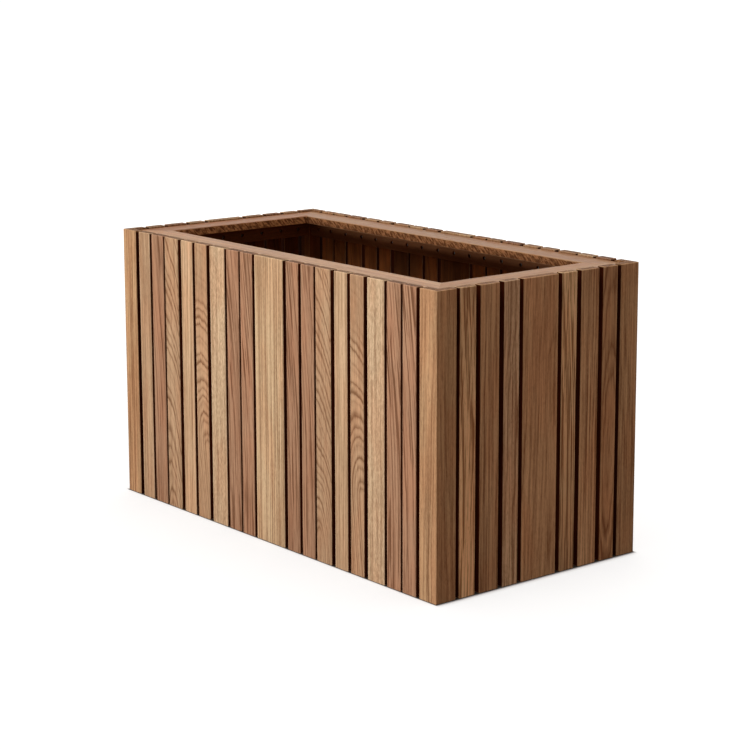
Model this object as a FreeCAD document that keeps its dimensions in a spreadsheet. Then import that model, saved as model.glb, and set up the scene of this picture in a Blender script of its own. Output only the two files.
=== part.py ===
import FreeCAD, Part
import Sketcher
import os

# Slatted timber planter box.
# Frame: origin at the centre of the footprint on the ground, +X along the long side, +Y to the back, +Z up.
# Each wall has its own local frame: x along the wall from its starting corner, y inwards from the outer face, z up.

V = FreeCAD.Vector
doc = FreeCAD.newDocument("planter_box")

# ---------------------------------------------------------------- driving dimensions (mm)
sheet = doc.addObject("Spreadsheet::Sheet", "Sizes")
sheet.Label = "Sizes"
_row = [0]


def size(alias, value, note=""):
    _row[0] += 1
    r = _row[0]
    sheet.set("A%d" % r, alias)
    sheet.set("B%d" % r, repr(float(value)))
    sheet.set("C%d" % r, note)
    sheet.setAlias("B%d" % r, alias)
    return float(value)


LENGTH = size("BoxLength", 800, "overall length")
WIDTH = size("BoxWidth", 400, "overall width")
HEIGHT = size("BoxHeight", 450, "overall height")
SLAT = size("SlatThickness", 14, "thickness of every wall slat")
POST = size("PostSize", 37, "side of a corner post")
EASE = size("EdgeEase", 0.8, "eased edge on slats and posts")
RIM_W = size("RimWidth", 46, "width of a rim board")
RIM_T = size("RimThickness", 13, "thickness of a rim board")
RIM_DROP = size("RimDrop", 2.5, "rim top below the slat tops")
RIM_EASE = size("RimEase", 1.0, "eased long edges of a rim board")
RAIL_T = size("RailThickness", 20, "thickness of the rails behind the slats")
UP_H = size("UpperRailHeight", 26, "height of an upper rail")
LOW_H = size("LowerRailHeight", 45, "height of a lower rail")
LOW_Z = size("LowerRailBottom", 12, "underside of a lower rail above the ground")
BOARD_W = size("FloorBoardWidth", 66, "width of a floor board")
BOARD_T = size("FloorBoardThickness", 16, "thickness of a floor board")
BOARD_PITCH = size("FloorBoardPitch", 72, "board to board distance, the gaps drain the box")
BOARD_N = size("FloorBoardCount", 10, "number of floor boards")
SCREW_D = size("ScrewDiameter", 3.5, "screw shank")
SCREW_L = size("ScrewLength", 25, "screw length under the head")
HEAD_D = size("ScrewHeadDiameter", 5.8, "pan head")
HEAD_H = size("ScrewHeadHeight", 2.0, "pan head")
CLEAR_D = size("ScrewClearanceDiameter", 4, "clearance hole")
BORE_D = size("CounterboreDiameter", 6.4, "counterbore for the screw head")
BORE_RAIL = size("RailCounterboreDepth", 5, "slat screws sit this deep in the rails")
BORE_RIM = size("RimCounterboreDepth", 11, "rim screws sit this deep in the upper rails")
BORE_FLOOR = size("FloorCounterboreDepth", 3, "floor screws sit this deep in the boards")
DOWEL_D = size("DowelDiameter", 8, "dowels between rails and posts")
DOWEL_HALF = size("DowelHalfLength", 18, "half in the rail, half in the post")
DOWEL_UP = size("DowelOffsetUpper", 6.5, "upper rail dowels above and below the rail's middle")
DOWEL_FAR = size("DowelOffsetFar", 16, "outer dowel of a lower rail from the rail's middle")
DOWEL_NEAR = size("DowelOffsetNear", 5, "inner dowel of a lower rail from the rail's middle")
WIDE_SCREW = size("WideSlatScrewOffset", 20, "two screws side by side in a wide slat")
BOARD_SCREW = size("BoardScrewOffset", 17, "two screws side by side at each end of a floor board")

# Slat widths and the gaps before each of them, in order along each wall from its starting corner.
WALLS = {
    "front": {
        "widths": [31.5, 33.5, 38, 32, 32.5, 40, 32, 31.5, 72, 30.5, 31, 36, 30, 31, 38, 30.5, 29.5],
        "gaps": [10.0, 6.7, 4.9, 9.1, 7.2, 9.0, 6.0, 4.4, 6.6, 8.4, 6.7, 4.7, 9.0, 7.2, 8.7, 6.0, 4.4],
    },
    "right": {
        "widths": [30, 36, 29.5, 69, 30, 36, 29.5],
        "gaps": [6.5, 8.6, 9.2, 7.7, 8.0, 9.2, 9.2],
    },
    "back": {
        "widths": [31, 32.5, 37, 31, 32, 39, 31, 30.5, 72, 31, 32.5, 37, 31, 32, 39, 31, 30.5],
        "gaps": [9.2, 6.7, 4.9, 9.1, 7.2, 8.8, 6.0, 4.4, 6.7, 8.6, 6.7, 4.9, 9.1, 7.2, 8.8, 6.0, 4.4],
    },
    "left": {
        "widths": [31, 31, 37, 72, 31, 37, 31],
        "gaps": [6.6, 7.2, 7.0, 7.4, 7.2, 7.0, 7.2],
    },
}
ORDER = ["front", "right", "back", "left"]
SPAN = {"front": ("BoxLength", LENGTH), "right": ("BoxWidth", WIDTH), "back": ("BoxLength", LENGTH), "left": ("BoxWidth", WIDTH)}
TURN = {"front": 0.0, "right": 90.0, "back": 180.0, "left": -90.0}
CORNER = {
    "front": (-1, -1),
    "right": (1, -1),
    "back": (1, 1),
    "left": (-1, 1),
}
for wall in ORDER:
    spec = WALLS[wall]
    at = POST
    spec["starts"] = []
    for i, (w, g) in enumerate(zip(spec["widths"], spec["gaps"])):
        at += g
        size("%sStart%02d" % (wall, i + 1), round(at, 3), "left edge of the slat from the wall's starting corner")
        size("%sSlat%02d" % (wall, i + 1), w, "slat width")
        spec["starts"].append(round(at, 3))
        at += w
    last = SPAN[wall][1] - POST - at
    if not 3.5 < last < 11:
        raise SystemExit("the last gap of the %s wall is %.2f mm" % (wall, last))
    print(wall, "last gap", round(last, 3))
doc.recompute()

# ---------------------------------------------------------------- helpers
WALL_AT = {}
for wall in ORDER:
    sx, sy = CORNER[wall]
    WALL_AT[wall] = FreeCAD.Placement(V(sx * LENGTH / 2, sy * WIDTH / 2, 0), FreeCAD.Rotation(V(0, 0, 1), TURN[wall]))
parts = []


def place_on_wall(obj, wall, x, y, z):
    """x, y and z are expressions in the wall's local frame; they become the object's Placement."""
    sx, sy = CORNER[wall]
    obj.Placement = FreeCAD.Placement(V(0, 0, 0), FreeCAD.Rotation(V(0, 0, 1), TURN[wall]))
    ox = "%s Sizes.BoxLength / 2" % ("-" if sx < 0 else "")
    oy = "%s Sizes.BoxWidth / 2" % ("-" if sy < 0 else "")
    along = {"front": ("+", None), "right": (None, "+"), "back": ("-", None), "left": (None, "-")}[wall]
    inward = {"front": (None, "+"), "right": ("-", None), "back": (None, "-"), "left": ("+", None)}[wall]
    ex = ox + " " + (along[0] + " (%s)" % x if along[0] else inward[0] + " (%s)" % y)
    ey = oy + " " + (along[1] + " (%s)" % x if along[1] else inward[1] + " (%s)" % y)
    obj.setExpression("Placement.Base.x", ex)
    obj.setExpression("Placement.Base.y", ey)
    obj.setExpression("Placement.Base.z", z)


def plane(body, role):
    return next(f for f in body.Origin.OriginFeatures if f.Role == role)


def new_body(name):
    body = doc.addObject("PartDesign::Body", name)
    body.Label = name
    if hasattr(body, "AllowCompound"):
        body.AllowCompound = True
    return body


def new_sketch(body, name, role, offset=None):
    sk = body.newObject("Sketcher::SketchObject", name)
    sk.AttachmentSupport = [(plane(body, role), "")]
    sk.MapMode = "FlatFace"
    if offset is not None:
        sk.setExpression("AttachmentOffset.Base.z", offset)
    return sk


def value_of(expression):
    sheet_values = {sheet.get("A%d" % r): float(sheet.get("B%d" % r)) for r in range(1, _row[0] + 1)}
    text = expression.replace("Sizes.", "")
    for key in sorted(sheet_values, key=len, reverse=True):
        text = text.replace(key, "(%r)" % sheet_values[key])
    total = FreeCAD.Units.Quantity(text)
    return float(total.Value)


def rectangle(sk, x, y, w, d):
    """A rectangle whose corner and size are expressions."""
    xv, yv, wv, dv = (value_of(e) for e in (x, y, w, d))
    n = sk.GeometryCount
    p = [V(xv, yv, 0), V(xv + wv, yv, 0), V(xv + wv, yv + dv, 0), V(xv, yv + dv, 0)]
    for a in range(4):
        sk.addGeometry(Part.LineSegment(p[a], p[(a + 1) % 4]), False)
    for a in range(4):
        sk.addConstraint(Sketcher.Constraint("Coincident", n + a, 2, n + (a + 1) % 4, 1))
    for a, kind in ((0, "Horizontal"), (1, "Vertical"), (2, "Horizontal"), (3, "Vertical")):
        sk.addConstraint(Sketcher.Constraint(kind, n + a))
    bind(sk, Sketcher.Constraint("DistanceX", n, 1, n, 2, wv), w)
    bind(sk, Sketcher.Constraint("DistanceY", n + 1, 1, n + 1, 2, dv), d)
    point_at(sk, n, 1, x, y)


def bind(sk, constraint, expression):
    c = sk.addConstraint(constraint)
    sk.setExpression("Constraints[%d]" % c, expression)


def point_at(sk, geo, pos, x, y):
    """Fixes a point of the sketch at x, y from the sketch's origin."""
    for kind, e, ident in (("DistanceX", x, "PointOnObjectY"), ("DistanceY", y, "PointOnObjectX")):
        v = value_of(e)
        if abs(v) < 1e-9:
            axis = -2 if kind == "DistanceX" else -1
            sk.addConstraint(Sketcher.Constraint("PointOnObject", geo, pos, axis))
        elif v > 0:
            bind(sk, Sketcher.Constraint(kind, -1, 1, geo, pos, v), e)
        else:
            bind(sk, Sketcher.Constraint(kind, geo, pos, -1, 1, -v), "-(%s)" % e)


def circles(sk, centres, diameter):
    dv = value_of(diameter)
    for x, y in centres:
        g = sk.addGeometry(Part.Circle(V(value_of(x), value_of(y), 0), V(0, 0, 1), dv / 2), False)
        bind(sk, Sketcher.Constraint("Diameter", g, dv), diameter)
        point_at(sk, g, 3, x, y)


def pad(body, sk, name, length):
    f = body.newObject("PartDesign::Pad", name)
    f.Profile = sk
    f.Length = value_of(length)
    f.setExpression("Length", length)
    sk.Visibility = False
    doc.recompute()
    return f


def pocket(body, sk, name, length, through=False):
    """Cuts the sketch into the body. The direction that removes material is kept."""
    before = body.Shape.Volume
    f = body.newObject("PartDesign::Pocket", name)
    f.Profile = sk
    if through:
        f.Type = "ThroughAll"
    else:
        f.Type = "Length"
        f.Length = value_of(length)
        f.setExpression("Length", length)
    cut = []
    for reverse in (False, True):
        f.Reversed = reverse
        doc.recompute()
        cut.append(before - body.Shape.Volume if "Invalid" not in f.State else -1.0)
    f.Reversed = cut[1] > cut[0]
    doc.recompute()
    if max(cut) < 1.0:
        raise SystemExit("%s of %s removes nothing" % (name, body.Label))
    return f


def ease(body, base, name, width, keep=lambda e: True):
    """Chamfers the edges of the base feature that keep() accepts."""
    names = ["Edge%d" % (i + 1) for i, e in enumerate(base.Shape.Edges) if keep(e)]
    f = body.newObject("PartDesign::Chamfer", name)
    f.Base = (base, names)
    f.Size = value_of(width)
    f.setExpression("Size", width)
    doc.recompute()
    return f


def along_x(e):
    a, b = e.Vertexes[0].Point, e.Vertexes[-1].Point
    return abs(a.y - b.y) < 1e-6 and abs(a.z - b.z) < 1e-6


UP_Z0 = "Sizes.BoxHeight - Sizes.RimDrop - Sizes.RimThickness - Sizes.UpperRailHeight"
UP_MID = "Sizes.BoxHeight - Sizes.RimDrop - Sizes.RimThickness - Sizes.UpperRailHeight / 2"
LOW_MID = "Sizes.LowerRailBottom + Sizes.LowerRailHeight / 2"
FLOOR_Z0 = "Sizes.LowerRailBottom + Sizes.LowerRailHeight"
INTO_SLAT = "Sizes.ScrewLength - (Sizes.RailThickness - Sizes.RailCounterboreDepth) + 0.5"


def screw_columns(wall, i):
    """Expressions, from the slat's own edge, of the x of each of its screws."""
    s = "Sizes.%sSlat%02d" % (wall, i + 1)
    if WALLS[wall]["widths"][i] > 50:
        return ["%s / 2 - Sizes.WideSlatScrewOffset" % s, "%s / 2 + Sizes.WideSlatScrewOffset" % s]
    return ["%s / 2" % s]


def slat(name, wall, indexes):
    """One slat, or two identical ones, of a wall: padded upright, eased, and drilled from the inner face."""
    body = new_body(name)
    first = indexes[0]
    sk = new_sketch(body, name + "_outline", "XY_Plane")
    holes = []
    for i in indexes:
        x = "0" if i == first else "Sizes.%sStart%02d - Sizes.%sStart%02d" % (wall, i + 1, wall, first + 1)
        rectangle(sk, x, "0", "Sizes.%sSlat%02d" % (wall, i + 1), "Sizes.SlatThickness")
        for c in screw_columns(wall, i):
            for zc in (LOW_MID, UP_MID):
                holes.append((c if i == first else "%s + %s" % (x, c), zc))
    base = pad(body, sk, name + "_pad", "Sizes.BoxHeight")
    ease(body, base, name + "_eased", "Sizes.EdgeEase")
    sk2 = new_sketch(body, name + "_pilot_holes", "XZ_Plane", "-(Sizes.SlatThickness)")
    circles(sk2, holes, "Sizes.ScrewDiameter")
    pocket(body, sk2, name + "_drilled", INTO_SLAT)
    place_on_wall(body, wall, "Sizes.%sStart%02d" % (wall, first + 1), "0", "0")
    parts.append(body)


# ---------------------------------------------------------------- wall slats
def numbered(prefix, wall):
    n = 0
    for i, w in enumerate(WALLS[wall]["widths"]):
        if w > 50:
            slat(prefix + "_slat_wide", wall, [i])
        else:
            n += 1
            slat("%s_slat_%02d" % (prefix, n), wall, [i])


numbered("front", "front")
numbered("right", "right")
numbered("left", "left")
slat("back_slat_wide", "back", [8])
for k in range(8):
    slat("back_slat_pair_%s" % "abcdefgh"[k], "back", [k, k + 9])

# ---------------------------------------------------------------- corner posts
# Square posts, rebated at the top inner corner for the rim, bored for the rail dowels on the two inner faces.
POST_NAMES = {"front": "corner_post_front_left", "right": "corner_post_front_right", "back": "corner_post_back_right", "left": "corner_post_back_left"}
RAIL_Y = "Sizes.SlatThickness + Sizes.RailThickness / 2"
for wall in ORDER:
    name = POST_NAMES[wall]
    body = new_body(name)
    sk = new_sketch(body, name + "_outline", "XY_Plane")
    rectangle(sk, "0", "0", "Sizes.PostSize", "Sizes.PostSize")
    base = pad(body, sk, name + "_pad", "Sizes.BoxHeight")
    ease(body, base, name + "_eased", "Sizes.EdgeEase")
    sk = new_sketch(body, name + "_rim_seat", "XY_Plane", "Sizes.BoxHeight")
    rectangle(sk, "Sizes.SlatThickness", "Sizes.SlatThickness", "Sizes.PostSize", "Sizes.PostSize")
    pocket(body, sk, name + "_rebate", "Sizes.RimDrop + Sizes.RimThickness")
    # Boring on the face that meets the wall starting here (x = PostSize), then on the face that meets the wall ending here.
    sk = new_sketch(body, name + "_bores_x", "YZ_Plane", "Sizes.PostSize")
    circles(sk, [(RAIL_Y, UP_MID + " + Sizes.DowelOffsetUpper"), (RAIL_Y, LOW_MID + " + Sizes.DowelOffsetFar"), (RAIL_Y, LOW_MID + " - Sizes.DowelOffsetNear")], "Sizes.DowelDiameter")
    pocket(body, sk, name + "_bored_x", "Sizes.DowelHalfLength")
    sk = new_sketch(body, name + "_bores_y", "XZ_Plane", "-(Sizes.PostSize)")
    circles(sk, [(RAIL_Y, UP_MID + " - Sizes.DowelOffsetUpper"), (RAIL_Y, LOW_MID + " + Sizes.DowelOffsetNear"), (RAIL_Y, LOW_MID + " - Sizes.DowelOffsetFar")], "Sizes.DowelDiameter")
    pocket(body, sk, name + "_bored_y", "Sizes.DowelHalfLength")
    place_on_wall(body, wall, "0", "0", "0")
    parts.append(body)

# ---------------------------------------------------------------- rails
# Rails run between the posts behind the slats. Each slat is screwed on from inside, through counterbored holes.
# Vertical screws rise from the upper rails into the rim and come down from the floor boards into the long lower rails.


def between(wall, i, j):
    """Half way between the screws of slat i and slat j, from the wall's starting corner, in mm."""
    s, w = WALLS[wall]["starts"], WALLS[wall]["widths"]
    return round((s[i] + w[i] + s[j]) / 2, 3)


RIM_SCREW_X = {}
for wall in ORDER:
    pairs = [(1, 2), (5, 6), (10, 11), (14, 15)] if wall in ("front", "back") else [(0, 1), (5, 6)]
    RIM_SCREW_X[wall] = []
    for k, (i, j) in enumerate(pairs):
        alias = "%sRimScrew%02d" % (wall, k + 1)
        size(alias, between(wall, i, j), "rim screw from the wall's starting corner")
        RIM_SCREW_X[wall].append("Sizes." + alias)
doc.recompute()
FLOOR_HALF = "(Sizes.FloorBoardCount - 1) * Sizes.FloorBoardPitch / 2"
FLOOR_X = []  # floor screw columns, from the middle of the box
for k in range(int(BOARD_N)):
    for s in ("-", "+"):
        FLOOR_X.append("%d * Sizes.FloorBoardPitch - (Sizes.FloorBoardCount - 1) * Sizes.FloorBoardPitch / 2 %s Sizes.BoardScrewOffset" % (k, s))

for wall in ORDER:
    span = "Sizes.%s" % SPAN[wall][0]
    clear = "%s - 2 * Sizes.PostSize" % span
    spots = []
    for i in range(len(WALLS[wall]["widths"])):
        for c in screw_columns(wall, i):
            spots.append("Sizes.%sStart%02d - Sizes.PostSize + %s" % (wall, i + 1, c))
    for level in ("upper", "lower"):
        name = "%s_rail_%s" % (level, wall)
        tall = "Sizes.UpperRailHeight" if level == "upper" else "Sizes.LowerRailHeight"
        body = new_body(name)
        sk = new_sketch(body, name + "_outline", "XY_Plane")
        rectangle(sk, "0", "0", clear, "Sizes.RailThickness")
        base = pad(body, sk, name + "_pad", tall)
        ease(body, base, name + "_eased", "Sizes.EdgeEase", along_x)
        centres = [(x, tall + " / 2") for x in spots]
        sk = new_sketch(body, name + "_slat_screw_holes", "XZ_Plane", "-(Sizes.RailThickness)")
        circles(sk, centres, "Sizes.ScrewClearanceDiameter")
        pocket(body, sk, name + "_drilled", None, through=True)
        sk = new_sketch(body, name + "_slat_screw_seats", "XZ_Plane", "-(Sizes.RailThickness)")
        circles(sk, centres, "Sizes.CounterboreDiameter")
        pocket(body, sk, name + "_counterbored", "Sizes.RailCounterboreDepth")
        if level == "upper":
            centres = [(x + " - Sizes.PostSize", "Sizes.RailThickness / 2") for x in RIM_SCREW_X[wall]]
            sk = new_sketch(body, name + "_rim_screw_holes", "XY_Plane")
            circles(sk, centres, "Sizes.ScrewClearanceDiameter")
            pocket(body, sk, name + "_rim_drilled", None, through=True)
            sk = new_sketch(body, name + "_rim_screw_seats", "XY_Plane")
            circles(sk, centres, "Sizes.CounterboreDiameter")
            pocket(body, sk, name + "_rim_counterbored", "Sizes.RimCounterboreDepth")
            start = [tall + " / 2 + Sizes.DowelOffsetUpper"]
            end = [tall + " / 2 - Sizes.DowelOffsetUpper"]
        else:
            if wall in ("front", "back"):
                centres = [("%s / 2 + %s" % (span, x) + " - Sizes.PostSize", "Sizes.RailThickness / 2") for x in FLOOR_X]
                sk = new_sketch(body, name + "_floor_pilot_holes", "XY_Plane", tall)
                circles(sk, centres, "Sizes.ScrewDiameter")
                pocket(body, sk, name + "_floor_drilled", "Sizes.ScrewLength - (Sizes.FloorBoardThickness - Sizes.FloorCounterboreDepth) + 0.5")
            start = [tall + " / 2 + Sizes.DowelOffsetFar", tall + " / 2 - Sizes.DowelOffsetNear"]
            end = [tall + " / 2 + Sizes.DowelOffsetNear", tall + " / 2 - Sizes.DowelOffsetFar"]
        sk = new_sketch(body, name + "_start_bores", "YZ_Plane")
        circles(sk, [("Sizes.RailThickness / 2", e) for e in start], "Sizes.DowelDiameter")
        pocket(body, sk, name + "_start_bored", "Sizes.DowelHalfLength")
        sk = new_sketch(body, name + "_end_bores", "YZ_Plane", clear)
        circles(sk, [("Sizes.RailThickness / 2", e) for e in end], "Sizes.DowelDiameter")
        pocket(body, sk, name + "_end_bored", "Sizes.DowelHalfLength")
        place_on_wall(body, wall, "Sizes.PostSize", "Sizes.SlatThickness", UP_Z0 if level == "upper" else "Sizes.LowerRailBottom")
        parts.append(body)

# ---------------------------------------------------------------- mitred rim
for wall in ORDER:
    name = "rim_board_%s" % wall
    span = "Sizes.%s" % SPAN[wall][0]
    body = new_body(name)
    sk = new_sketch(body, name + "_outline", "XY_Plane")
    long_edge = "%s - 2 * Sizes.SlatThickness" % span
    lv, wv = value_of(long_edge), RIM_W
    pts = [V(0, 0, 0), V(lv, 0, 0), V(lv - wv, wv, 0), V(wv, wv, 0)]
    for a in range(4):
        sk.addGeometry(Part.LineSegment(pts[a], pts[(a + 1) % 4]), False)
    for a in range(4):
        sk.addConstraint(Sketcher.Constraint("Coincident", a, 2, (a + 1) % 4, 1))
    sk.addConstraint(Sketcher.Constraint("Coincident", 0, 1, -1, 1))
    sk.addConstraint(Sketcher.Constraint("Horizontal", 0))
    sk.addConstraint(Sketcher.Constraint("Horizontal", 2))
    bind(sk, Sketcher.Constraint("DistanceX", 0, 1, 0, 2, lv), long_edge)
    bind(sk, Sketcher.Constraint("DistanceY", 0, 2, 2, 1, wv), "Sizes.RimWidth")
    bind(sk, Sketcher.Constraint("DistanceX", 2, 1, 0, 2, wv), "Sizes.RimWidth")
    bind(sk, Sketcher.Constraint("DistanceX", 0, 1, 2, 2, wv), "Sizes.RimWidth")
    base = pad(body, sk, name + "_pad", "Sizes.RimThickness")
    ease(body, base, name + "_eased", "Sizes.RimEase", along_x)
    sk = new_sketch(body, name + "_pilot_holes", "XY_Plane")
    circles(sk, [(x + " - Sizes.SlatThickness", "Sizes.RailThickness / 2") for x in RIM_SCREW_X[wall]], "Sizes.ScrewDiameter")
    pocket(body, sk, name + "_drilled", "Sizes.ScrewLength - (Sizes.UpperRailHeight - Sizes.RimCounterboreDepth) + 0.5")
    place_on_wall(body, wall, "Sizes.SlatThickness", "Sizes.SlatThickness", "Sizes.BoxHeight - Sizes.RimDrop - Sizes.RimThickness")
    parts.append(body)

# ---------------------------------------------------------------- floor boards
# Ten identical boards lie across the long lower rails, with drainage gaps between them.
name = "floor_boards"
body = new_body(name)
sk = new_sketch(body, name + "_outline", "XY_Plane")
rectangle(sk, "0", "0", "Sizes.FloorBoardWidth", "Sizes.BoxWidth - 2 * Sizes.SlatThickness")
base = pad(body, sk, name + "_pad", "Sizes.FloorBoardThickness")
ease(body, base, name + "_eased", "Sizes.EdgeEase")
corners = []
for s in ("-", "+"):
    for y in ("Sizes.RailThickness / 2", "Sizes.BoxWidth - 2 * Sizes.SlatThickness - Sizes.RailThickness / 2"):
        corners.append(("Sizes.FloorBoardWidth / 2 %s Sizes.BoardScrewOffset" % s, y))
sk = new_sketch(body, name + "_screw_holes", "XY_Plane", "Sizes.FloorBoardThickness")
circles(sk, corners, "Sizes.ScrewClearanceDiameter")
drilled = pocket(body, sk, name + "_drilled", None, through=True)
sk = new_sketch(body, name + "_screw_seats", "XY_Plane", "Sizes.FloorBoardThickness")
circles(sk, corners, "Sizes.CounterboreDiameter")
seats = pocket(body, sk, name + "_counterbored", "Sizes.FloorCounterboreDepth")
one_board = body.Shape.Volume
row = body.newObject("PartDesign::LinearPattern", name + "_row")
if hasattr(row, "TransformMode"):
    row.TransformMode = "Whole shape"
else:
    row.Originals = [base, drilled, seats]
row.Direction = (plane(body, "X_Axis") if any(f.Role == "X_Axis" for f in body.Origin.OriginFeatures) else body.Origin, [""])
if hasattr(row, "Mode"):
    row.Mode = "Spacing"
    row.Offset = BOARD_PITCH
    row.setExpression("Offset", "Sizes.FloorBoardPitch")
row.Occurrences = int(BOARD_N)
row.setExpression("Occurrences", "Sizes.FloorBoardCount")
body.Tip = row
body.Placement = FreeCAD.Placement(V(0, 0, 0), FreeCAD.Rotation())
body.setExpression("Placement.Base.x", "-(%s) - Sizes.FloorBoardWidth / 2" % FLOOR_HALF)
body.setExpression("Placement.Base.y", "Sizes.SlatThickness - Sizes.BoxWidth / 2")
body.setExpression("Placement.Base.z", FLOOR_Z0)
doc.recompute()
if len(body.Shape.Solids) != int(BOARD_N) or abs(body.Shape.Volume - BOARD_N * one_board) > 1.0:
    raise SystemExit("floor boards: %d solids, volume %.1f of %.1f" % (len(body.Shape.Solids), body.Shape.Volume, BOARD_N * one_board))
parts.append(body)

# ---------------------------------------------------------------- screws and dowels
# One pan-head screw with a cross recess, head up, its seat at the origin.
master = new_body("screw_master")
sk = new_sketch(master, "screw_profile", "XZ_Plane")
r, hr, hh, ln = SCREW_D / 2, HEAD_D / 2, HEAD_H, SCREW_L
outline = [V(0, hh, 0), V(hr - 0.7, hh, 0), V(hr, hh - 0.7, 0), V(hr, 0, 0), V(r, 0, 0), V(r, -(ln - 4), 0), V(0, -ln, 0)]
for a in range(len(outline)):
    sk.addGeometry(Part.LineSegment(outline[a], outline[(a + 1) % len(outline)]), False)
for a in range(len(outline)):
    sk.addConstraint(Sketcher.Constraint("Coincident", a, 2, (a + 1) % len(outline), 1))
sk.addConstraint(Sketcher.Constraint("PointOnObject", 0, 1, -2))
sk.addConstraint(Sketcher.Constraint("PointOnObject", 5, 2, -2))
sk.addConstraint(Sketcher.Constraint("Horizontal", 0))
sk.addConstraint(Sketcher.Constraint("Vertical", 2))
sk.addConstraint(Sketcher.Constraint("Horizontal", 3))
sk.addConstraint(Sketcher.Constraint("Vertical", 4))
sk.addConstraint(Sketcher.Constraint("PointOnObject", 3, 1, -1))
bind(sk, Sketcher.Constraint("DistanceY", -1, 1, 0, 1, hh), "Sizes.ScrewHeadHeight")
bind(sk, Sketcher.Constraint("DistanceX", -1, 1, 3, 1, hr), "Sizes.ScrewHeadDiameter / 2")
bind(sk, Sketcher.Constraint("DistanceX", -1, 1, 4, 1, r), "Sizes.ScrewDiameter / 2")
bind(sk, Sketcher.Constraint("DistanceY", 5, 2, -1, 1, ln), "Sizes.ScrewLength")
sk.addConstraint(Sketcher.Constraint("DistanceX", 1, 1, 1, 2, 0.7))
sk.addConstraint(Sketcher.Constraint("DistanceY", 1, 2, 1, 1, 0.7))
sk.addConstraint(Sketcher.Constraint("DistanceY", 5, 2, 5, 1, 4.0))
turn = master.newObject("PartDesign::Revolution", "screw_turned")
turn.Profile = sk
turn.ReferenceAxis = (sk, ["V_Axis"])
turn.Angle = 360.0
doc.recompute()
sk = new_sketch(master, "screw_recess", "XY_Plane", "Sizes.ScrewHeadHeight")
a, b = 1.8, 0.4
cross = [V(-a, -b, 0), V(-b, -b, 0), V(-b, -a, 0), V(b, -a, 0), V(b, -b, 0), V(a, -b, 0), V(a, b, 0), V(b, b, 0), V(b, a, 0), V(-b, a, 0), V(-b, b, 0), V(-a, b, 0)]
for k in range(12):
    sk.addGeometry(Part.LineSegment(cross[k], cross[(k + 1) % 12]), False)
for k in range(12):
    sk.addConstraint(Sketcher.Constraint("Coincident", k, 2, (k + 1) % 12, 1))
for k in range(12):
    sk.addConstraint(Sketcher.Constraint("Horizontal" if k % 2 == 0 else "Vertical", k))
size("ScrewRecessDepth", 1.2, "cross recess")
doc.recompute()
pocket(master, sk, "screw_recessed", "Sizes.ScrewRecessDepth")
screw = master.Shape.copy()
screw.Placement = FreeCAD.Placement()
dowel = Part.makeCylinder(DOWEL_D / 2, 2 * DOWEL_HALF, V(0, 0, -DOWEL_HALF), V(0, 0, 1))


def group(name, master_shape, placements):
    """Identical fasteners share one object, as separate solids."""
    shapes = []
    for p in placements:
        s = master_shape.copy()
        s.Placement = p
        shapes.append(s)
    obj = doc.addObject("Part::Feature", name)
    obj.Label = name
    obj.Shape = Part.makeCompound(shapes)
    obj.Placement = FreeCAD.Placement()
    parts.append(obj)
    return obj


IN = FreeCAD.Rotation(V(1, 0, 0), -90)  # head towards +y of the wall (inwards), point outwards
UP_MID_V, LOW_MID_V = value_of(UP_MID), value_of(LOW_MID)
slat_screws, frame_screws, dowels = [], [], []
for wall in ORDER:
    at = WALL_AT[wall]
    for i in range(len(WALLS[wall]["widths"])):
        for c in screw_columns(wall, i):
            x = WALLS[wall]["starts"][i] + value_of(c)
            for z in (LOW_MID_V, UP_MID_V):
                slat_screws.append(at.multiply(FreeCAD.Placement(V(x, SLAT + RAIL_T - BORE_RAIL, z), IN)))
    flip = FreeCAD.Rotation(V(1, 0, 0), 180)
    for e in RIM_SCREW_X[wall]:
        frame_screws.append(at.multiply(FreeCAD.Placement(V(value_of(e), SLAT + RAIL_T / 2, value_of(UP_Z0) + BORE_RIM), flip)))
    span = SPAN[wall][1]
    side = FreeCAD.Rotation(V(0, 1, 0), 90)
    y = SLAT + RAIL_T / 2
    for x, zs in ((POST, (UP_MID_V + DOWEL_UP, LOW_MID_V + DOWEL_FAR, LOW_MID_V - DOWEL_NEAR)), (span - POST, (UP_MID_V - DOWEL_UP, LOW_MID_V + DOWEL_NEAR, LOW_MID_V - DOWEL_FAR))):
        for z in zs:
            dowels.append(at.multiply(FreeCAD.Placement(V(x, y, z), side)))
for e in FLOOR_X:
    for s in (-1, 1):
        frame_screws.append(FreeCAD.Placement(V(value_of(e), s * (WIDTH / 2 - SLAT - RAIL_T / 2), value_of(FLOOR_Z0) + BOARD_T - BORE_FLOOR), FreeCAD.Rotation()))
group("slat_screws", screw, slat_screws)
group("frame_screws", screw, frame_screws)
group("rail_dowels", dowel, dowels)

# ---------------------------------------------------------------- checks and files
doc.recompute()
for o in doc.Objects:
    bad = [w for w in o.State if w in ("Invalid", "Error")]
    if bad:
        raise SystemExit("%s is %s" % (o.Label, bad))
labels = [o.Label for o in parts]
if len(set(labels)) != len(labels) or len(labels) > 60:
    raise SystemExit("%d parts, %d names" % (len(labels), len(set(labels))))
box = FreeCAD.BoundBox()
for o in parts:
    if o.Shape.isNull() or not o.Shape.isValid():
        raise SystemExit("%s has no valid shape" % o.Label)
    box.add(o.Shape.BoundBox)
os.makedirs("parts", exist_ok=True)
for o in parts:
    o.Shape.exportStep("parts/%s.step" % o.Label)
print(len(parts), "parts", [round(v, 3) for v in (box.XMin, box.YMin, box.ZMin, box.XMax, box.YMax, box.ZMax)])
for o in parts:
    print("%-26s solids %3d volume %12.1f mm3" % (o.Label, len(o.Shape.Solids), o.Shape.Volume))
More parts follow.
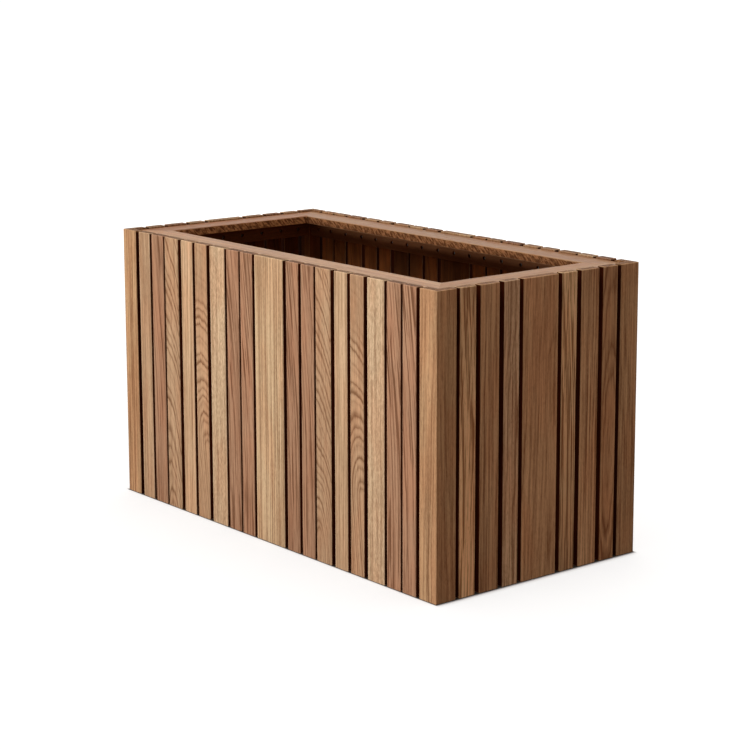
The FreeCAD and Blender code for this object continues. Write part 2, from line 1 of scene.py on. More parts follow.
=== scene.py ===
import math
import random
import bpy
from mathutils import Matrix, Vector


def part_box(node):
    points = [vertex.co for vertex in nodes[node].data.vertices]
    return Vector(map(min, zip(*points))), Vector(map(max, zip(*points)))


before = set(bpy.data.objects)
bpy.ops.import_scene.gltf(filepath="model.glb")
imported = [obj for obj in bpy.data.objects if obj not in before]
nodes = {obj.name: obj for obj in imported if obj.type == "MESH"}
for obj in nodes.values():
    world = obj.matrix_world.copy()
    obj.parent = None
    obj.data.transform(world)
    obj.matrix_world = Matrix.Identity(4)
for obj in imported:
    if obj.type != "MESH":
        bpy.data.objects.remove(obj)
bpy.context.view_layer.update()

import zlib

import bpy
from mathutils import Matrix, Vector

scene = bpy.context.scene


# ------------------------------------------------------------------ node graph helper
class Graph:
    """Builds one material's node tree. Any argument may be a number, a tuple or a socket."""

    def __init__(self, name):
        self.mat = bpy.data.materials.new(name)
        self.mat.use_nodes = True
        self.tree = self.mat.node_tree
        self.tree.nodes.clear()

    def node(self, kind, **props):
        n = self.tree.nodes.new(kind)
        for k, v in props.items():
            setattr(n, k, v)
        return n

    def put(self, socket, value):
        if isinstance(value, bpy.types.NodeSocket):
            self.tree.links.new(value, socket)
        elif value is not None:
            socket.default_value = value

    def math(self, op, a, b=None, c=None, clamp=False):
        n = self.node("ShaderNodeMath", operation=op, use_clamp=clamp)
        for s, v in zip(n.inputs, (a, b, c)):
            self.put(s, v)
        return n.outputs[0]

    def vector(self, x, y, z):
        n = self.node("ShaderNodeCombineXYZ")
        for s, v in zip(n.inputs, (x, y, z)):
            self.put(s, v)
        return n.outputs[0]

    def vmath(self, op, a, b=None, scale=None):
        n = self.node("ShaderNodeVectorMath", operation=op)
        self.put(n.inputs[0], a)
        if b is not None:
            self.put(n.inputs[1], b)
        if scale is not None:
            self.put(n.inputs["Scale"], scale)
        return n.outputs["Value"] if op in ("LENGTH", "DOT_PRODUCT", "DISTANCE") else n.outputs["Vector"]

    def split(self, v):
        n = self.node("ShaderNodeSeparateXYZ")
        self.put(n.inputs[0], v)
        return n.outputs[0], n.outputs[1], n.outputs[2]

    def noise(self, vector, scale=1.0, detail=2.0, rough=0.5, distortion=0.0, colour=False):
        n = self.node("ShaderNodeTexNoise", noise_dimensions="3D")
        self.put(n.inputs["Vector"], vector)
        n.inputs["Scale"].default_value = scale
        n.inputs["Detail"].default_value = detail
        n.inputs["Roughness"].default_value = rough
        n.inputs["Distortion"].default_value = distortion
        return n.outputs["Color"] if colour else n.outputs["Fac"]

    def noise1(self, w, scale=1.0, detail=1.0):
        n = self.node("ShaderNodeTexNoise", noise_dimensions="1D")
        self.put(n.inputs["W"], w)
        n.inputs["Scale"].default_value = scale
        n.inputs["Detail"].default_value = detail
        return n.outputs["Fac"]

    def ramp(self, fac, stops, mode="LINEAR"):
        n = self.node("ShaderNodeValToRGB")
        n.color_ramp.interpolation = mode
        e = n.color_ramp.elements
        while len(e) > len(stops):
            e.remove(e[-1])
        while len(e) < len(stops):
            e.new(1.0)
        for k, (p, v) in enumerate(stops):
            e[k].position = p
            e[k].color = (v, v, v, 1.0) if isinstance(v, float) else (*v, 1.0)
        self.put(n.inputs[0], fac)
        return n.outputs[0]

    def fit(self, v, lo, hi, to_lo=0.0, to_hi=1.0, smooth=True):
        n = self.node("ShaderNodeMapRange", interpolation_type="SMOOTHSTEP" if smooth else "LINEAR")
        n.clamp = True
        for s, x in zip(n.inputs, (v, lo, hi, to_lo, to_hi)):
            self.put(s, x)
        return n.outputs[0]

    def mix(self, fac, a, b, blend="MIX"):
        n = self.node("ShaderNodeMix", data_type="RGBA", blend_type=blend)
        n.clamp_factor = True
        self.put(n.inputs[0], fac)
        for s, v in ((n.inputs[6], a), (n.inputs[7], b)):
            self.put(s, (*v, 1.0) if isinstance(v, (tuple, list)) and len(v) == 3 else v)
        return n.outputs[2]

    def finish(self, colour, rough, height=None, distance=0.0002, strength=0.6, metallic=0.0, specular=0.13):
        p = self.node("ShaderNodeBsdfPrincipled")
        self.put(p.inputs["Base Color"], colour)
        self.put(p.inputs["Roughness"], rough)
        p.inputs["Metallic"].default_value = metallic
        p.inputs["Specular IOR Level"].default_value = specular
        if height is not None:
            b = self.node("ShaderNodeBump")
            b.inputs["Strength"].default_value = strength
            b.inputs["Distance"].default_value = distance
            self.put(b.inputs["Height"], height)
            self.put(p.inputs["Normal"], b.outputs[0])
        out = self.node("ShaderNodeOutputMaterial")
        self.put(out.inputs[0], p.outputs[0])
        return self.mat


def linear(r, g, b):
    f = lambda c: c / 12.92 if c <= 0.04045 else ((c + 0.055) / 1.055) ** 2.4
    return tuple(f(c / 255.0) for c in (r, g, b))


def times(c, k):
    k = k if isinstance(k, tuple) else (k, k, k)
    return tuple(min(1.0, a * b) for a, b in zip(c, k))


# ------------------------------------------------------------------ wood
# tone: the plank's mean colour under the key light. Figure: how the plank was cut from the log. All lengths are in mm.
#   ring      distance between growth rings
#   depth     how dark the late wood is
#   centre    heart of the log from the plank's middle: across the face, and through its thickness
#   lean      drift of the heart per mm along the plank (a lean through the face draws cathedral arches)
#   wander    slow bending of the rings, fast is the same at a few mm
#   pores     fine dark dashes, flecks are larger and sparser ones, streak is colour running along the fibres
#   lines     fine lines the length of the plank, veins are dark ones a few centimetres long, grit is short mottling
#   slant     sideways drift of the fibres per mm in the upper half of the plank
#   fork      below this height the heart stops leaning through the face, crown: above it the rings fade
FIGURES = {
    "post": dict(tone=(174, 140, 105), ring=6.4, depth=0.40, centre=(150, 70), lean=(0.03, 0.01), wander=8, fast=1.6, pores=0.45, flecks=0.30, streak=0.70, lines=0.40, veins=0.15, grit=0.20),
    "tan": dict(tone=(179, 150, 120), ring=6.2, depth=0.34, centre=(120, 40), lean=(0.02, 0.02), wander=6, fast=1.4, pores=0.40, flecks=0.25, streak=0.60, lines=0.45, veins=0.10, grit=0.18),
    "pink": dict(tone=(158, 123, 97), ring=7.2, depth=0.48, centre=(60, 30), lean=(-0.05, 0.02), wander=10, fast=2.2, pores=0.40, flecks=0.20, streak=0.60, lines=0.5, veins=1.25, grit=0.12, slant=0.13),
    "arch": dict(tone=(173, 143, 113), ring=4.2, depth=0.88, centre=(-26, 45), lean=(-0.10, 0.20), wander=9, fast=1.4, pores=0.45, flecks=0.30, streak=0.45, lines=0.12, veins=0.20, grit=0.12, fixed=True),
    "pale": dict(tone=(191, 162, 130), ring=6.2, depth=0.24, centre=(90, 60), lean=(0.015, 0.01), wander=6, fast=1.2, pores=0.35, flecks=0.30, streak=0.70, lines=0.32, veins=0.06, grit=0.12),
    "chevron": dict(tone=(178, 146, 115), ring=4.5, depth=0.95, centre=(2, 0), lean=(-0.10, 0.30), wander=7, fast=1.5, pores=0.40, flecks=0.30, streak=0.40, lines=0.10, veins=0.10, grit=0.12, fixed=True, fork=-100.0, crown=128.0),
    "speck": dict(tone=(194, 169, 138), ring=8.0, depth=0.22, centre=(110, 80), lean=(0.01, 0.02), wander=8, fast=2.0, pores=0.45, flecks=0.45, streak=0.50, lines=0.22, veins=0.05, grit=0.42),
    "wide": dict(tone=(189, 163, 130), ring=4.8, depth=0.55, centre=(170, 50), lean=(0.01, 0.01), wander=3, fast=0.6, pores=0.40, flecks=0.25, streak=0.22, lines=0.62, veins=0.10, grit=0.25),
    "bold": dict(tone=(198, 164, 126), ring=6.2, depth=1.25, centre=(60, 20), lean=(0.035, 0.02), wander=9, fast=2.0, pores=0.50, flecks=0.25, streak=0.60, lines=1.65, veins=1.25, grit=0.12, slant=0.06),
    "plain": dict(tone=(181, 145, 110), ring=6.2, depth=0.5, centre=(100, 60), lean=(0.02, 0.01), wander=8, fast=1.6, pores=0.40, flecks=0.25, streak=0.70, lines=0.6, veins=0.25, grit=0.18),
    "calm": dict(tone=(181, 145, 110), ring=6.2, depth=0.42, centre=(22, 30), lean=(0.02, 0.05), wander=8, fast=1.6, pores=0.40, flecks=0.25, streak=0.70, lines=0.30, veins=0.25, grit=0.18),
    "cloud": dict(tone=(188, 157, 126), ring=6.6, depth=0.8, centre=(34, 34), lean=(0.02, 0.03), wander=12, fast=2.4, pores=0.50, flecks=0.45, streak=0.80, lines=0.6, veins=0.5, grit=0.25),
    "oval": dict(tone=(176, 138, 103), ring=6.4, depth=1.2, centre=(5, 14), lean=(0.02, 0.11), wander=11, fast=2.4, pores=0.45, flecks=0.25, streak=0.50, lines=0.25, veins=0.25, grit=0.12),
    "rim": dict(tone=(160, 127, 101), ring=6.4, depth=0.24, centre=(70, 60), lean=(0.004, 0.004), wander=7, fast=1.2, pores=0.30, flecks=0.12, streak=0.45, lines=0.22, veins=0.10, grit=0.12),
    "floor": dict(tone=(140, 104, 72), ring=8.0, depth=0.85, centre=(12, 22), lean=(0.005, 0.06), wander=10, fast=2.4, pores=0.45, flecks=0.30, streak=0.85, lines=0.20, veins=0.30, grit=0.15),
    "rail": dict(tone=(100, 72, 50), ring=6.5, depth=0.60, centre=(40, 30), lean=(0.01, 0.01), wander=8, fast=1.8, pores=0.40, flecks=0.20, streak=0.85, lines=0.30, veins=0.30, grit=0.15),
    "dowel": dict(tone=(205, 172, 132), ring=2.4, depth=0.30, centre=(60, 30), lean=(0.004, 0.004), wander=3, fast=0.4, pores=0.20, flecks=0.05, streak=0.30, lines=0.10, veins=0.05, grit=0.10),
}
COAT = (0.28, 0.094, 0.024)  # painted shade: a dark colour on the faces that meet the soil, standing in for the shade inside the box
GAP_LIGHT, GAP_DARK = (0.105, 0.0190, 0.0026), (0.050, 0.0088, 0.0014)  # painted shade on the narrow faces inside the gaps, pale and deep


def wood(name, figure, along, across, box, seed, inner=None, coat=None, sawn_sides=False, dark_sides=False, fold=None, shade=1.0, cut=1.0, post=False, stain_k=1.0, fade=((0.90, 0.875, 0.86), (1.07, 1.08, 1.08))):
    """Solid wood with growth rings, pores, streaks, end grain, worn edges that also carry a painted highlight, and
    painted shade on inner faces.

    along and across are axis indexes. inner lists directions whose faces carry the painted shade.
    fold = (axis, shift, middle) lets two equal planks in one node share edges.
    cut scales the sawn edges' colour as painted light and shade, and fade tints an upright plank's foot and head as
    painted light and shade.
    """
    f = FIGURES[figure]
    rnd = random.Random(seed)
    g = Graph(name)
    through = 3 - along - across
    lo, hi = box
    mid = (lo + hi) / 2
    pos = g.node("ShaderNodeTexCoord").outputs["Object"]
    xyz = list(g.split(pos))
    which = None
    if fold:
        axis, shift, middle = fold
        which = g.math("GREATER_THAN", xyz[axis], middle)
        xyz[axis] = g.math("SUBTRACT", xyz[axis], g.math("MULTIPLY", which, shift))
        hi = hi.copy()
        hi[axis] -= shift
        mid = (lo + hi) / 2
    # millimetres from the plank's middle, across, through and along it
    mm = [g.math("MULTIPLY", g.math("SUBTRACT", xyz[k], mid[k]), 1000.0) for k in (across, through, along)]
    if which is not None:  # the second plank is cut from another part of the log
        mm[2] = g.math("ADD", mm[2], g.math("MULTIPLY", which, 731.0))
    a, t, v = mm
    jitter = [rnd.uniform(-500, 500) for _ in range(3)]
    p = g.vector(a, t, v)

    rise = g.math("SQRT", g.math("MULTIPLY_ADD", v, v, 6400.0))
    drift = g.math("MULTIPLY", g.math("ADD", v, rise), 0.5 * f.get("slant", 0.0))
    pf = g.vector(g.math("ADD", a, drift), t, v)

    def stretched(ka, kv, k, detail=2.0, rough=0.5, colour=False, distortion=0.0):
        q = g.vmath("MULTIPLY", pf, (ka, ka, kv))
        q = g.vmath("ADD", q, (jitter[0] * 0.37 + k * 11.3, jitter[1] * 0.21 - k * 7.1, jitter[2] * 0.11 + k * 3.7))
        return g.noise(q, 1.0, detail, rough, distortion, colour)

    # growth rings round a leaning, wandering heart
    bend = g.split(g.vmath("SUBTRACT", stretched(0.010, 0.0035, 1, 2.0, 0.5, colour=True), (0.5, 0.5, 0.5)))
    cu = f["centre"][0] * (rnd.uniform(0.9, 1.1) if "fixed" in f else rnd.uniform(0.75, 1.25) * rnd.choice((1, 1, -1)))
    cw = f["centre"][1] * rnd.uniform(0.85, 1.2)
    lean = [k * rnd.uniform(0.8, 1.25) for k in f["lean"]]
    du = g.math("ADD", g.math("SUBTRACT", a, cu), g.math("MULTIPLY", bend[0], 2.0 * f["wander"]))
    du = g.math("MULTIPLY_ADD", v, -lean[0], du)
    dw = g.math("ADD", g.math("SUBTRACT", t, cw), g.math("MULTIPLY", bend[1], 2.0 * f["wander"]))
    above = g.math("MAXIMUM", g.math("SUBTRACT", v, f["fork"]), 0.0) if "fork" in f else v
    dw = g.math("MULTIPLY_ADD", above, -lean[1], dw)
    radius = g.vmath("LENGTH", g.vector(du, dw, 0.0))
    ripple = stretched(0.16, 0.022, 2, 2.0, 0.55)
    radius = g.math("MULTIPLY_ADD", g.math("SUBTRACT", ripple, 0.5), 2.0 * f["fast"], radius)
    phase = g.math("DIVIDE", radius, f["ring"] * rnd.uniform(0.9, 1.12))
    phase = g.math("MULTIPLY_ADD", g.math("SUBTRACT", g.noise1(phase, 0.55), 0.5), 1.1, phase)
    turn = g.math("FRACT", phase)
    late = g.ramp(turn, [(0.0, 1.0), (0.10, 0.72), (0.34, 0.16), (0.66, 0.0), (0.90, 0.42), (1.0, 1.0)], "B_SPLINE")
    weight = g.fit(g.noise1(g.math("ADD", phase, 31.7), 0.8), 0.3, 0.7, 0.35, 1.25)
    late = g.math("MULTIPLY", late, weight)
    if "crown" in f:
        keep = g.fit(v, f["crown"] + 25.0, f["crown"] - 15.0, 0.15, 1.0)
        late = g.math("MULTIPLY_ADD", g.math("SUBTRACT", late, 0.34), keep, 0.34)
    early = g.ramp(turn, [(0.0, 0.55), (0.08, 1.0), (0.40, 0.15), (1.0, 0.2)])

    # fibres, streaks, pores and flecks run along the plank
    streak = stretched(0.20, 0.0045, 3, 3.0, 0.62)
    fibre = stretched(0.62, 0.016, 4, 3.0, 0.65)
    pore = g.math("MULTIPLY", g.fit(stretched(0.95, 0.050, 5, 1.0, 0.5), 0.55, 0.68), g.math("MULTIPLY_ADD", early, 0.75, 0.25))
    fleck = g.fit(stretched(0.46, 0.105, 6, 2.0, 0.6), 0.58, 0.72)
    cloud = stretched(0.035, 0.0085, 7, 2.0, 0.5)

    mean_tone = times(linear(*f["tone"]), 1.06 * rnd.uniform(0.975, 1.025))
    # shade: on the right-end slats the plank's own tone, on the rim boards painted light and shade per side
    tone = times(mean_tone, shade)
    # cut paints light and shade on the sawn edges, per board
    raw = times(mean_tone, cut)
    light = times(tone, (1.24, 1.26, 1.28))
    dark = times(tone, (0.46, 0.36, 0.29))
    lines = g.fit(stretched(0.30, 0.0030, 13, 1.0, 0.5), 0.38, 0.62)
    vein = g.fit(stretched(0.27, 0.0065, 14, 2.0, 0.5), 0.55, 0.67)
    grit = g.fit(stretched(0.60, 0.150, 15, 2.0, 0.6), 0.36, 0.64)
    s_w = 0.50 * f["streak"]
    mean = 0.27 * f["depth"] + 0.47 * s_w + 0.50 * f["lines"] + 0.16 + 0.14 * f["veins"] + 0.50 * f["grit"]
    level = g.math("MULTIPLY_ADD", late, f["depth"], 0.40 - mean)
    level = g.math("MULTIPLY_ADD", g.fit(streak, 0.34, 0.68), s_w, level)
    level = g.math("MULTIPLY_ADD", lines, f["lines"], level)
    level = g.math("MULTIPLY_ADD", g.fit(fibre, 0.36, 0.64), 0.32, level)
    level = g.math("MULTIPLY_ADD", vein, f["veins"], level)
    level = g.math("MULTIPLY_ADD", grit, f["grit"], level)
    level = g.math("MULTIPLY", level, 1.0, clamp=True)
    colour = g.mix(level, light, dark)
    warm = g.mix(1.0, colour, times((1.0, 1.0, 1.0), (1.0, 0.90, 0.86)), "MULTIPLY")
    colour = g.mix(g.fit(cloud, 0.38, 0.66), colour, warm)
    colour = g.mix(g.fit(stretched(0.012, 0.0040, 8), 0.35, 0.65, 0.0, 0.20), colour, times(tone, (0.80, 0.74, 0.70)))
    if which is not None:
        colour = g.mix(g.math("MULTIPLY", which, 0.55), colour, g.mix(1.0, colour, (0.84, 0.80, 0.80), "MULTIPLY"))
    colour = g.mix(g.math("MULTIPLY", pore, f["pores"]), colour, times(tone, (0.30, 0.22, 0.17)))
    colour = g.mix(g.math("MULTIPLY", fleck, f["flecks"]), colour, times(tone, (0.42, 0.33, 0.26)))

    # end grain, from the face's direction
    normal = g.node("ShaderNodeNewGeometry").outputs["Normal"]
    facing = [0.0, 0.0, 0.0]
    facing[along] = 1.0
    end = g.fit(g.math("ABSOLUTE", g.vmath("DOT_PRODUCT", normal, tuple(facing))), 0.75, 0.9)
    end_speck = g.fit(g.noise(g.vmath("MULTIPLY", p, (1.1, 1.1, 1.1)), 1.0, 2.0, 0.65), 0.40, 0.66)
    end_colour = g.mix(1.0, colour, (0.50, 0.43, 0.37), "MULTIPLY")
    end_colour = g.mix(g.math("MULTIPLY", end_speck, 0.55), end_colour, times(tone, (0.20, 0.14, 0.10)))
    colour = g.mix(end, colour, end_colour)

    rough = g.math("MULTIPLY_ADD", level, -0.10, 0.62)
    rough = g.math("MULTIPLY_ADD", pore, 0.15, rough)
    rough = g.math("MULTIPLY_ADD", end, 0.18, rough, clamp=True)

    height = g.math("MULTIPLY_ADD", late, 0.35 * f["depth"] + 0.05, g.math("MULTIPLY", fibre, 0.45))
    height = g.math("MULTIPLY_ADD", pore, -0.9, height)
    height = g.math("MULTIPLY_ADD", fleck, -0.35, height)
    height = g.math("MULTIPLY_ADD", g.math("MULTIPLY", end, end_speck), -1.1, height)

    if sawn_sides:  # rough-sawn long edges: slanting saw strokes, blotches and torn fibres
        facing = [0.0, 0.0, 0.0]
        facing[across] = 1.0
        side = g.fit(g.math("ABSOLUTE", g.vmath("DOT_PRODUCT", normal, tuple(facing))), 0.80, 0.93)
        slant = g.math("MULTIPLY_ADD", t, 0.9, v)
        strokes = g.noise(g.vector(g.math("MULTIPLY", slant, 0.20), g.math("MULTIPLY", t, 0.10), a), 1.0, 2.0, 0.6)
        blot = g.noise(g.vector(g.math("MULTIPLY", v, 0.10), g.math("MULTIPLY", t, 0.22), a), 1.0, 3.0, 0.65)
        edge = g.mix(g.fit(strokes, 0.38, 0.60), times(raw, (1.38, 1.06, 0.72)), times(raw, (0.34, 0.21, 0.11)))
        edge = g.mix(g.fit(blot, 0.42, 0.68, 0.0, 0.55), edge, times(raw, (0.60, 0.40, 0.23)))
        edge = g.mix(g.fit(stretched(0.4, 0.12, 9, 2.0, 0.6), 0.60, 0.72, 0.0, 0.6), edge, times(raw, (1.7, 1.45, 1.1)))
        colour = g.mix(side, colour, edge)
        rough = g.math("MULTIPLY_ADD", side, 0.2, rough, clamp=True)
        height = g.math("MULTIPLY_ADD", g.math("MULTIPLY", side, strokes), 2.0, height)

    if along == 2:  # painted light and shade along an upright plank: by default darker at the foot and lighter at the head, reversed on some right-end slats
        height_up = g.fit(v, -235.0, 225.0, 0.0, 1.0, smooth=False)
        colour = g.mix(1.0, colour, g.mix(height_up, fade[0], fade[1]), "MULTIPLY")
    if dark_sides:  # painted shade: the narrow faces inside the gaps are darkened behind the arris, standing in for the shade in the gaps
        facing = [0.0, 0.0, 0.0]
        facing[across] = 1.0
        side = g.fit(g.math("ABSOLUTE", g.vmath("DOT_PRODUCT", normal, tuple(facing))), 0.80, 0.93)
        deep = g.math("MULTIPLY", g.math("MINIMUM", g.math("SUBTRACT", xyz[through], lo[through]), g.math("SUBTRACT", hi[through], xyz[through])), 1000.0)
        side = g.math("MULTIPLY", side, g.fit(deep, 0.5, 1.8))
        colour = g.mix(side, colour, g.mix(g.fit(streak, 0.3, 0.7), GAP_LIGHT, GAP_DARK))

    # worn arrises, lightened as wear and as a painted highlight: the middle one of the three distances to the plank's
    # planes
    near = []
    for k in range(3):
        near.append(g.math("MULTIPLY", g.math("MINIMUM", g.math("SUBTRACT", xyz[k], lo[k]), g.math("SUBTRACT", hi[k], xyz[k])), 1000.0))
    total = g.math("ADD", g.math("ADD", near[0], near[1]), near[2])
    big = g.math("MAXIMUM", g.math("MAXIMUM", near[0], near[1]), near[2])
    small = g.math("MINIMUM", g.math("MINIMUM", near[0], near[1]), near[2])
    gap = g.math("SUBTRACT", g.math("SUBTRACT", total, big), small)
    rub = stretched(0.12, 0.03, 10, 3.0, 0.6)
    wear = g.math("MULTIPLY", g.fit(gap, 1.9, 0.4), g.fit(rub, 0.32, 0.62, 0.25, 1.0))
    colour = g.mix(g.math("MULTIPLY", wear, 0.42), colour, times(tone, (1.34, 1.36, 1.38)))
    rough = g.math("MULTIPLY_ADD", wear, -0.08, rough)

    if inner:  # painted shade on the faces that meet the soil, standing in for the shade inside the box, patchy here and there
        mask = slot = None
        under = g.math("LESS_THAN", xyz[2], 0.4474)
        for d in inner:
            m = g.math("MULTIPLY", g.fit(g.vmath("DOT_PRODUCT", normal, d), 0.55, 0.8), under)
            if post:  # a post's inner faces get painted gap shade for the thickness of a slat, and the inner faces' painted shade behind it
                other = 1 if d[0] else 0
                sign = sum(e[other] for e in inner)
                depth = g.math("SUBTRACT", xyz[other], lo[other]) if sign > 0 else g.math("SUBTRACT", hi[other], xyz[other])
                back = g.math("GREATER_THAN", depth, 0.0138)
                gap_side = g.math("MULTIPLY", m, g.math("MULTIPLY", g.math("SUBTRACT", 1.0, back), g.fit(depth, 0.0006, 0.0018)))
                slot = gap_side if slot is None else g.math("MAXIMUM", slot, gap_side)
                m = g.math("MULTIPLY", m, back)
            mask = m if mask is None else g.math("MAXIMUM", mask, m)
            # painted shade on the inner face's lip above the rim
            lip = g.math("MULTIPLY", g.fit(g.vmath("DOT_PRODUCT", normal, d), 0.55, 0.8), g.math("SUBTRACT", 1.0, under))
            colour = g.mix(lip, colour, g.mix(1.0, colour, (0.62, 0.52, 0.44), "MULTIPLY"))
        if slot is not None:
            colour = g.mix(slot, colour, GAP_DARK)
        thin = g.fit(stretched(0.05, 0.010, 11, 3.0, 0.6), 0.30, 0.75)
        deep_stain = times(COAT, stain_k * rnd.uniform(0.55, 1.30))
        stain = g.mix(thin, times(deep_stain, 0.7), times(deep_stain, 1.4))
        stain = g.mix(g.math("MULTIPLY", level, 0.5), stain, times(deep_stain, 0.35))
        colour = g.mix(mask, colour, stain)
        rough = g.math("MULTIPLY_ADD", mask, 0.10, rough, clamp=True)
    # painted shade on the rails: a dark colour standing in for the shade inside the box, deeper on the lower rails
    if coat:
        thin = g.fit(stretched(0.03, 0.006, 12, 3.0, 0.6), 0.35, 0.70)
        stain = g.mix(thin, coat[0], coat[1])
        stain = g.mix(g.math("MULTIPLY", level, 0.45), stain, times(coat[0], 0.5))
        colour = g.mix(0.88, colour, stain)
    return g.finish(colour, rough, height, 0.00035, 0.55)


def dress(name, *args, **kw):
    o = nodes[name]
    mat = wood("wood_" + name, *args, seed=zlib.crc32(name.encode()), **kw)
    for s in o.material_slots:
        s.material = mat
    return o


X, Y, Z = 0, 1, 2
FRONT = ["tan", "pink", "arch", "pale", "chevron", "speck", "pink", "pink", "pink", "pink", "arch", "pale", "chevron", "speck", "pink", "pink"]
RIGHT = ["bold", "plain", "cloud", "bold", "plain", "oval"]
RIGHT_SHADE = [1.06, 0.90, 1.0, 0.94, 1.0, 0.95]
# painted light and shade along the right-end slats: tints at foot and head
END_FADE = ((1.08, 1.07, 1.06), (1.01, 1.01, 1.01))
RIGHT_FADE = [((1.26, 1.24, 1.22), (0.88, 0.88, 0.88)), ((0.97, 0.96, 0.95), (1.10, 1.10, 1.10)), ((1.14, 1.12, 1.10), (0.96, 0.96, 0.96)), ((0.90, 0.89, 0.88), (1.16, 1.17, 1.17)), ((1.16, 1.14, 1.12), (0.95, 0.95, 0.95)), ((1.12, 1.10, 1.08), (0.95, 0.95, 0.95))]
LEFT = ["pale", "pink", "arch", "speck", "pink", "tan"]
BACK = ["pink", "speck", "chevron", "tan", "pale", "pink", "arch", "plain"]
for k, fig in enumerate(FRONT):
    n = "front_slat_%02d" % (k + 1)
    dress(n, fig, Z, X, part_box(n), inner=[(0, 1, 0)], dark_sides=True)
dress("front_slat_wide", "wide", Z, X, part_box("front_slat_wide"), inner=[(0, 1, 0)], dark_sides=True)
for k in range(6):
    n = "right_slat_%02d" % (k + 1)
    dress(n, RIGHT[k], Z, Y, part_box(n), inner=[(-1, 0, 0)], dark_sides=True, shade=RIGHT_SHADE[k], fade=RIGHT_FADE[k])
    n = "left_slat_%02d" % (k + 1)
    dress(n, LEFT[k], Z, Y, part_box(n), inner=[(1, 0, 0)], dark_sides=True, stain_k=0.55)
dress("right_slat_wide", "calm", Z, Y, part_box("right_slat_wide"), inner=[(-1, 0, 0)], dark_sides=True, shade=1.10, fade=END_FADE)
dress("left_slat_wide", "wide", Z, Y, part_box("left_slat_wide"), inner=[(1, 0, 0)], dark_sides=True, stain_k=0.55)
dress("back_slat_wide", "wide", Z, X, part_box("back_slat_wide"), inner=[(0, -1, 0)], dark_sides=True)
for k, fig in enumerate(BACK):
    n = "back_slat_pair_%s" % "abcdefgh"[k]
    lo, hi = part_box(n)
    xs = sorted({round(v.co.x, 5) for v in nodes[n].data.vertices})
    middle = (lo.x + hi.x) / 2
    width = max(x for x in xs if x < middle) - lo.x
    dress(n, fig, Z, X, (lo, hi), inner=[(0, -1, 0)], dark_sides=True, fold=(X, hi.x - lo.x - width, middle))
for n, dirs in (
    ("corner_post_front_left", [(1, 0, 0), (0, 1, 0)]),
    ("corner_post_front_right", [(-1, 0, 0), (0, 1, 0)]),
    ("corner_post_back_left", [(1, 0, 0), (0, -1, 0)]),
    ("corner_post_back_right", [(-1, 0, 0), (0, -1, 0)]),
):
    dress(n, "post", Z, X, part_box(n), inner=dirs, post=True, stain_k=0.7)
# painted light and shade on the rim boards: the front brighter, the back and left darker and cooler
RIM_SHADE = {"front": (1.19, 1.17, 1.06), "right": (0.99, 0.92, 0.74), "back": (0.86, 0.78, 0.63), "left": (0.84, 0.63, 0.44)}
# painted light and shade on the rim boards' sawn edges: the back darker, the left lighter
RIM_CUT = {"front": 0.9, "right": 0.9, "back": (0.80, 0.74, 0.72), "left": (1.25, 1.20, 1.12)}
for side, along in (("front", X), ("back", X), ("left", Y), ("right", Y)):
    across = Y if along == X else X
    n = "rim_board_" + side
    dress(n, "rim", along, across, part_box(n), sawn_sides=True, shade=RIM_SHADE[side], cut=RIM_CUT[side])
    n = "upper_rail_" + side
    dress(n, "rail", along, across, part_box(n), coat=((0.235, 0.088, 0.032), (0.32, 0.13, 0.052)))
    n = "lower_rail_" + side
    dress(n, "rail", along, across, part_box(n), coat=((0.16, 0.062, 0.026), (0.26, 0.105, 0.046)))
dress("floor_boards", "floor", Y, X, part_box("floor_boards"))
dress("rail_dowels", "dowel", Z, X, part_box("rail_dowels"))


def steel(name):
    """Stainless steel dulled by weather: fine turning marks, stains and a little rust in the recess."""
    g = Graph(name)
    pos = g.node("ShaderNodeTexCoord").outputs["Object"]
    mm = g.vmath("SCALE", pos, scale=1000.0)
    stain = g.noise(mm, 0.35, 3.0, 0.6)
    fine = g.noise(mm, 3.0, 2.0, 0.6)
    colour = g.mix(g.fit(stain, 0.35, 0.7), (0.42, 0.41, 0.40), (0.24, 0.22, 0.20))
    colour = g.mix(g.fit(g.noise(mm, 0.8, 3.0, 0.7), 0.60, 0.72, 0.0, 0.7), colour, (0.16, 0.085, 0.045))
    rough = g.fit(stain, 0.3, 0.7, 0.32, 0.58)
    return g.finish(colour, rough, fine, 0.00004, 0.5, metallic=1.0, specular=0.5)


steel_mat = steel("steel_screws")
for n in ("slat_screws", "frame_screws"):
    for s in nodes[n].material_slots:
        s.material = steel_mat

# ------------------------------------------------------------------ floor and light
bpy.ops.mesh.primitive_plane_add(size=300.0, location=(0.0, 0.0, 0.0))
ground = bpy.context.object
ground.name = "studio_floor"
g = Graph("studio_floor")
out = g.node("ShaderNodeOutputMaterial")
path = g.node("ShaderNodeLightPath")
seen = g.node("ShaderNodeMixShader")
# painted contact shadow: within a few mm of the box's footprint the floor loses its glow and its colour turns dark
place = g.vmath("ABSOLUTE", g.node("ShaderNodeTexCoord").outputs["Object"])
outside = g.vmath("MAXIMUM", g.vmath("SUBTRACT", place, (0.4, 0.2, 10.0)), (0.0, 0.0, 0.0))
away = g.vmath("LENGTH", g.vmath("MULTIPLY", outside, (1.0, 2.4, 1.0)))
g.put(seen.inputs[0], g.fit(away, 0.0, 0.014, 1.0, 0.40))
glow = g.node("ShaderNodeEmission")
glow.inputs[0].default_value = (1.0, 1.0, 1.0, 1.0)
glow.inputs[1].default_value = 1.14
matt = g.node("ShaderNodeBsdfDiffuse")
g.put(matt.inputs[0], g.mix(g.fit(away, -0.001, 0.008), (0.024, 0.015, 0.010), (0.92, 0.94, 0.97)))
g.put(seen.inputs[1], glow.outputs[0])
g.put(seen.inputs[2], matt.outputs[0])
bounce = g.node("ShaderNodeBsdfDiffuse")
bounce.inputs[0].default_value = (0.255, 0.168, 0.122, 1.0)
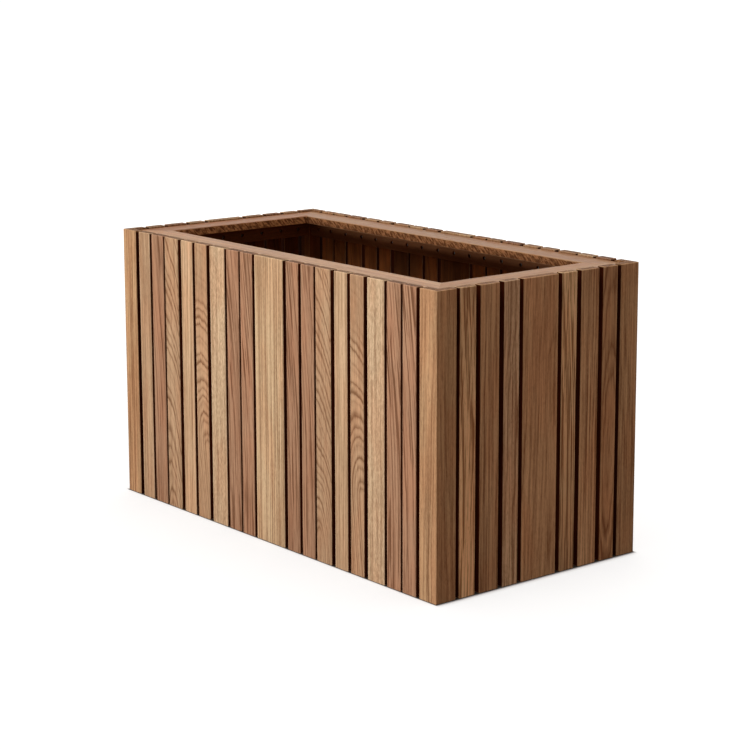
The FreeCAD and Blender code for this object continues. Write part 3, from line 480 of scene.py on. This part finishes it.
both = g.node("ShaderNodeMixShader")
g.put(both.inputs[0], path.outputs["Is Camera Ray"])
g.put(both.inputs[1], bounce.outputs[0])
g.put(both.inputs[2], seen.outputs[0])
g.put(out.inputs[0], both.outputs[0])
ground.data.materials.append(g.mat)

world = bpy.data.worlds.new("studio")
scene.world = world
world.use_nodes = True
t = world.node_tree
t.nodes.clear()
w_out = t.nodes.new("ShaderNodeOutputWorld")
w_mix = t.nodes.new("ShaderNodeMixShader")
w_path = t.nodes.new("ShaderNodeLightPath")
w_white = t.nodes.new("ShaderNodeBackground")
w_white.inputs[0].default_value = (1.0, 1.0, 1.0, 1.0)
w_white.inputs[1].default_value = 1.0
w_fill = t.nodes.new("ShaderNodeBackground")
w_fill.inputs[0].default_value = (1.0, 0.76, 0.60, 1.0)
w_fill.inputs[1].default_value = 0.125
t.links.new(w_path.outputs["Is Camera Ray"], w_mix.inputs[0])
t.links.new(w_fill.outputs[0], w_mix.inputs[1])
t.links.new(w_white.outputs[0], w_mix.inputs[2])
t.links.new(w_mix.outputs[0], w_out.inputs[0])


def softbox(name, centre, target, size, power, colour=(1.0, 1.0, 1.0)):
    d = bpy.data.lights.new(name, "AREA")
    d.shape = "RECTANGLE"
    d.size, d.size_y = size
    d.energy = power
    d.color = colour
    o = bpy.data.objects.new(name, d)
    scene.collection.objects.link(o)
    o.location = centre
    o.rotation_euler = (Vector(target) - Vector(centre)).to_track_quat("-Z", "Y").to_euler()
    o.visible_camera = False
    return o


softbox("key_front", (-1.5, -8.0, 0.7), (0.0, 0.0, 0.25), (3.4, 1.1), 515.0, (1.0, 1.0, 0.98))
sky = bpy.data.lights.new("overhead", "SUN")
sky.energy = 2.75
sky.angle = math.radians(82.0)
sky.color = (1.0, 0.97, 0.93)
overhead = bpy.data.objects.new("overhead", sky)
scene.collection.objects.link(overhead)
overhead.location = (0.0, 0.0, 3.0)
softbox("fill_back_left", (-3.2, 3.2, 0.9), (0.0, 0.0, 0.22), (3.0, 1.2), 75.0, (1.0, 0.97, 0.94))

# ------------------------------------------------------------------ camera
YAW, PITCH, ROLL = math.radians(50.788), math.radians(10.075), math.radians(-0.132)
d = Vector((-math.sin(YAW) * math.cos(PITCH), math.cos(YAW) * math.cos(PITCH), -math.sin(PITCH)))
r = Vector((math.cos(YAW), math.sin(YAW), 0.0))
u = r.cross(d)
r2 = r * math.cos(ROLL) + u * math.sin(ROLL)
u2 = -r * math.sin(ROLL) + u * math.cos(ROLL)
cam = bpy.data.cameras.new("camera")
cam.sensor_width = 36.0
cam.lens = 98.04
cam.shift_y = -0.1
cam.clip_start = 0.05
cam.clip_end = 200.0
camera = bpy.data.objects.new("camera", cam)
scene.collection.objects.link(camera)
m = Matrix((r2, u2, -d)).transposed().to_4x4()
m.translation = Vector((2.4872, -2.0128, 0.9288))
camera.matrix_world = m
scene.camera = camera
scene.view_settings.view_transform = "Standard"
